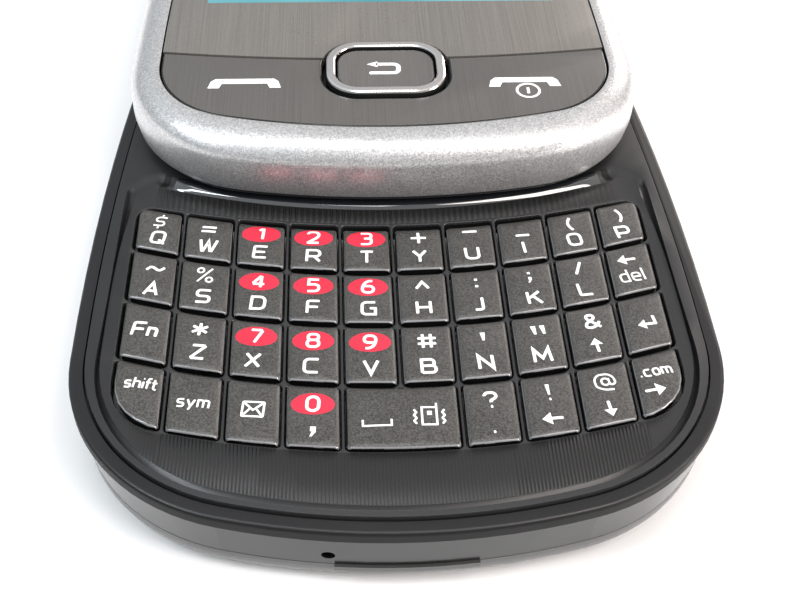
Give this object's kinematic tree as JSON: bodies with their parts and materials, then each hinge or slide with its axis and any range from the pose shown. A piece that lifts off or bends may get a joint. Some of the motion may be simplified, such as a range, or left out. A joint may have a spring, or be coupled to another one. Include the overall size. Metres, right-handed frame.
{
  "type": "slider phone",
  "caption": "Pocket phone whose screen half slides up along the base and uncovers a curved-row letter keyboard; shown open, lying on its back.",
  "frame": {"origin": "centre of the opened phone's outline, on the face it rests on", "axes": "+X to the phone's right, +Y from its keyboard end to its top end, +Z out of the keyboard and the screen"},
  "size_m": [0.0558, 0.1351, 0.0156],
  "materials": {
    "key_caps": "satin dark brown-grey lacquer with light legends",
    "silver_frame": "satin silver paint with fine metallic flake",
    "bright_ring": "bright silver, glossy",
    "window": "clear gloss over a brushed grey-brown film",
    "key_plate": "darker brushed grey-brown, satin gloss",
    "slide_shell": "black, fine texture",
    "keypad_plate": "black, fine ribs and a smooth glossy band",
    "case_rim": "black satin",
    "case_shell": "dark grey satin",
    "cover_shell": "dark grey soft touch",
    "side_keys": "grey metallic lacquer",
    "silicone": "translucent grey silicone",
    "circuit_board": "green solder mask",
    "cell_wrap": "wrapped metal can",
    "steel": "brushed steel",
    "display": "lit panel under glass",
    "camera_body": "black with a clear lens",
    "speaker_mesh": "black mesh"
  },
  "bodies": {
    "base": {"base_front_case": "case_rim", "base_rear_case": "case_shell", "keypad_bezel": "keypad_plate", "keymat": "silicone", "main_board": "circuit_board", "battery": "cell_wrap", "slide_runner": "steel", "camera_module": "camera_body", "base_screws": "steel"},
    "slide": {"slide_back": "slide_shell", "slide_channel_plate": "steel", "slide_frame": "silver_frame", "display_module": "display", "front_window": "window", "key_ring": "bright_ring", "earpiece": "speaker_mesh"},
    "battery_cover": {"battery_cover": "cover_shell"},
    "key_plate": {"key_plate": "key_plate"},
    "back_key": {"back_key": "key_caps"},
    "volume_rocker": {"volume_rocker": "side_keys"},
    "camera_key": {"camera_key": "side_keys"},
    "key_shift": {"key_shift": "key_caps"},
    "key_sym": {"key_sym": "key_caps"},
    "key_mail": {"key_mail": "key_caps"},
    "key_comma": {"key_comma": "key_caps"},
    "key_space": {"key_space": "key_caps"},
    "key_period": {"key_period": "key_caps"},
    "key_left": {"key_left": "key_caps"},
    "key_down": {"key_down": "key_caps"},
    "key_right": {"key_right": "key_caps"},
    "key_fn": {"key_fn": "key_caps"},
    "key_z": {"key_z": "key_caps"},
    "key_x": {"key_x": "key_caps"},
    "key_c": {"key_c": "key_caps"},
    "key_v": {"key_v": "key_caps"},
    "key_b": {"key_b": "key_caps"},
    "key_n": {"key_n": "key_caps"},
    "key_m": {"key_m": "key_caps"},
    "key_up": {"key_up": "key_caps"},
    "key_enter": {"key_enter": "key_caps"},
    "key_a": {"key_a": "key_caps"},
    "key_s": {"key_s": "key_caps"},
    "key_d": {"key_d": "key_caps"},
    "key_f": {"key_f": "key_caps"},
    "key_g": {"key_g": "key_caps"},
    "key_h": {"key_h": "key_caps"},
    "key_j": {"key_j": "key_caps"},
    "key_k": {"key_k": "key_caps"},
    "key_l": {"key_l": "key_caps"},
    "key_delete": {"key_delete": "key_caps"},
    "key_q": {"key_q": "key_caps"},
    "key_w": {"key_w": "key_caps"},
    "key_e": {"key_e": "key_caps"},
    "key_r": {"key_r": "key_caps"},
    "key_t": {"key_t": "key_caps"},
    "key_y": {"key_y": "key_caps"},
    "key_u": {"key_u": "key_caps"},
    "key_i": {"key_i": "key_caps"},
    "key_o": {"key_o": "key_caps"},
    "key_p": {"key_p": "key_caps"}
  },
  "joints": [
    {"name": "slide_travel", "type": "slide", "parent": "base", "child": "slide", "axis": [0, 1, 0], "range_m": [-0.036, 0]},
    {"name": "cover_release", "type": "slide", "parent": "base", "child": "battery_cover", "axis": [0, -1, 0], "range_m": [0, 0.003]},
    {"name": "key_plate_rock", "type": "hinge", "parent": "slide", "child": "key_plate", "pos_m": [0, -0.02165, 0.0138], "axis": [0, 1, 0], "range_deg": [-0.8, 0.8], "stiffness_Nm_per_rad": 1.5},
    {"name": "back_key_press", "type": "slide", "parent": "slide", "child": "back_key", "axis": [0, 0, 1], "range_m": [-0.0003, 0], "stiffness_N_per_m": 1000, "springref_m": 0.0005},
    {"name": "volume_rock", "type": "hinge", "parent": "base", "child": "volume_rocker", "pos_m": [-0.0244, 0.00245, 0.0049], "axis": [0, 0, 1], "range_deg": [-1.2, 1.2], "stiffness_Nm_per_rad": 0.6},
    {"name": "camera_key_press", "type": "slide", "parent": "base", "child": "camera_key", "axis": [-1, 0, 0], "range_m": [0, 0.0003], "stiffness_N_per_m": 1500, "springref_m": -0.0004},
    {"name": "press_shift", "type": "slide", "parent": "base", "child": "key_shift", "axis": [0, 0, 1], "range_m": [-0.00035, 0], "stiffness_N_per_m": 800, "springref_m": 0.0005},
    {"name": "press_sym", "type": "slide", "parent": "base", "child": "key_sym", "axis": [0, 0, 1], "range_m": [-0.00035, 0], "stiffness_N_per_m": 800, "springref_m": 0.0005},
    {"name": "press_mail", "type": "slide", "parent": "base", "child": "key_mail", "axis": [0, 0, 1], "range_m": [-0.00035, 0], "stiffness_N_per_m": 800, "springref_m": 0.0005},
    {"name": "press_comma", "type": "slide", "parent": "base", "child": "key_comma", "axis": [0, 0, 1], "range_m": [-0.00035, 0], "stiffness_N_per_m": 800, "springref_m": 0.0005},
    {"name": "press_space", "type": "slide", "parent": "base", "child": "key_space", "axis": [0, 0, 1], "range_m": [-0.00035, 0], "stiffness_N_per_m": 800, "springref_m": 0.0005},
    {"name": "press_period", "type": "slide", "parent": "base", "child": "key_period", "axis": [0, 0, 1], "range_m": [-0.00035, 0], "stiffness_N_per_m": 800, "springref_m": 0.0005},
    {"name": "press_left", "type": "slide", "parent": "base", "child": "key_left", "axis": [0, 0, 1], "range_m": [-0.00035, 0], "stiffness_N_per_m": 800, "springref_m": 0.0005},
    {"name": "press_down", "type": "slide", "parent": "base", "child": "key_down", "axis": [0, 0, 1], "range_m": [-0.00035, 0], "stiffness_N_per_m": 800, "springref_m": 0.0005},
    {"name": "press_right", "type": "slide", "parent": "base", "child": "key_right", "axis": [0, 0, 1], "range_m": [-0.00035, 0], "stiffness_N_per_m": 800, "springref_m": 0.0005},
    {"name": "press_fn", "type": "slide", "parent": "base", "child": "key_fn", "axis": [0, 0, 1], "range_m": [-0.00035, 0], "stiffness_N_per_m": 800, "springref_m": 0.0005},
    {"name": "press_z", "type": "slide", "parent": "base", "child": "key_z", "axis": [0, 0, 1], "range_m": [-0.00035, 0], "stiffness_N_per_m": 800, "springref_m": 0.0005},
    {"name": "press_x", "type": "slide", "parent": "base", "child": "key_x", "axis": [0, 0, 1], "range_m": [-0.00035, 0], "stiffness_N_per_m": 800, "springref_m": 0.0005},
    {"name": "press_c", "type": "slide", "parent": "base", "child": "key_c", "axis": [0, 0, 1], "range_m": [-0.00035, 0], "stiffness_N_per_m": 800, "springref_m": 0.0005},
    {"name": "press_v", "type": "slide", "parent": "base", "child": "key_v", "axis": [0, 0, 1], "range_m": [-0.00035, 0], "stiffness_N_per_m": 800, "springref_m": 0.0005},
    {"name": "press_b", "type": "slide", "parent": "base", "child": "key_b", "axis": [0, 0, 1], "range_m": [-0.00035, 0], "stiffness_N_per_m": 800, "springref_m": 0.0005},
    {"name": "press_n", "type": "slide", "parent": "base", "child": "key_n", "axis": [0, 0, 1], "range_m": [-0.00035, 0], "stiffness_N_per_m": 800, "springref_m": 0.0005},
    {"name": "press_m", "type": "slide", "parent": "base", "child": "key_m", "axis": [0, 0, 1], "range_m": [-0.00035, 0], "stiffness_N_per_m": 800, "springref_m": 0.0005},
    {"name": "press_up", "type": "slide", "parent": "base", "child": "key_up", "axis": [0, 0, 1], "range_m": [-0.00035, 0], "stiffness_N_per_m": 800, "springref_m": 0.0005},
    {"name": "press_enter", "type": "slide", "parent": "base", "child": "key_enter", "axis": [0, 0, 1], "range_m": [-0.00035, 0], "stiffness_N_per_m": 800, "springref_m": 0.0005},
    {"name": "press_a", "type": "slide", "parent": "base", "child": "key_a", "axis": [0, 0, 1], "range_m": [-0.00035, 0], "stiffness_N_per_m": 800, "springref_m": 0.0005},
    {"name": "press_s", "type": "slide", "parent": "base", "child": "key_s", "axis": [0, 0, 1], "range_m": [-0.00035, 0], "stiffness_N_per_m": 800, "springref_m": 0.0005},
    {"name": "press_d", "type": "slide", "parent": "base", "child": "key_d", "axis": [0, 0, 1], "range_m": [-0.00035, 0], "stiffness_N_per_m": 800, "springref_m": 0.0005},
    {"name": "press_f", "type": "slide", "parent": "base", "child": "key_f", "axis": [0, 0, 1], "range_m": [-0.00035, 0], "stiffness_N_per_m": 800, "springref_m": 0.0005},
    {"name": "press_g", "type": "slide", "parent": "base", "child": "key_g", "axis": [0, 0, 1], "range_m": [-0.00035, 0], "stiffness_N_per_m": 800, "springref_m": 0.0005},
    {"name": "press_h", "type": "slide", "parent": "base", "child": "key_h", "axis": [0, 0, 1], "range_m": [-0.00035, 0], "stiffness_N_per_m": 800, "springref_m": 0.0005},
    {"name": "press_j", "type": "slide", "parent": "base", "child": "key_j", "axis": [0, 0, 1], "range_m": [-0.00035, 0], "stiffness_N_per_m": 800, "springref_m": 0.0005},
    {"name": "press_k", "type": "slide", "parent": "base", "child": "key_k", "axis": [0, 0, 1], "range_m": [-0.00035, 0], "stiffness_N_per_m": 800, "springref_m": 0.0005},
    {"name": "press_l", "type": "slide", "parent": "base", "child": "key_l", "axis": [0, 0, 1], "range_m": [-0.00035, 0], "stiffness_N_per_m": 800, "springref_m": 0.0005},
    {"name": "press_delete", "type": "slide", "parent": "base", "child": "key_delete", "axis": [0, 0, 1], "range_m": [-0.00035, 0], "stiffness_N_per_m": 800, "springref_m": 0.0005},
    {"name": "press_q", "type": "slide", "parent": "base", "child": "key_q", "axis": [0, 0, 1], "range_m": [-0.00035, 0], "stiffness_N_per_m": 800, "springref_m": 0.0005},
    {"name": "press_w", "type": "slide", "parent": "base", "child": "key_w", "axis": [0, 0, 1], "range_m": [-0.00035, 0], "stiffness_N_per_m": 800, "springref_m": 0.0005},
    {"name": "press_e", "type": "slide", "parent": "base", "child": "key_e", "axis": [0, 0, 1], "range_m": [-0.00035, 0], "stiffness_N_per_m": 800, "springref_m": 0.0005},
    {"name": "press_r", "type": "slide", "parent": "base", "child": "key_r", "axis": [0, 0, 1], "range_m": [-0.00035, 0], "stiffness_N_per_m": 800, "springref_m": 0.0005},
    {"name": "press_t", "type": "slide", "parent": "base", "child": "key_t", "axis": [0, 0, 1], "range_m": [-0.00035, 0], "stiffness_N_per_m": 800, "springref_m": 0.0005},
    {"name": "press_y", "type": "slide", "parent": "base", "child": "key_y", "axis": [0, 0, 1], "range_m": [-0.00035, 0], "stiffness_N_per_m": 800, "springref_m": 0.0005},
    {"name": "press_u", "type": "slide", "parent": "base", "child": "key_u", "axis": [0, 0, 1], "range_m": [-0.00035, 0], "stiffness_N_per_m": 800, "springref_m": 0.0005},
    {"name": "press_i", "type": "slide", "parent": "base", "child": "key_i", "axis": [0, 0, 1], "range_m": [-0.00035, 0], "stiffness_N_per_m": 800, "springref_m": 0.0005},
    {"name": "press_o", "type": "slide", "parent": "base", "child": "key_o", "axis": [0, 0, 1], "range_m": [-0.00035, 0], "stiffness_N_per_m": 800, "springref_m": 0.0005},
    {"name": "press_p", "type": "slide", "parent": "base", "child": "key_p", "axis": [0, 0, 1], "range_m": [-0.00035, 0], "stiffness_N_per_m": 800, "springref_m": 0.0005}
  ]
}
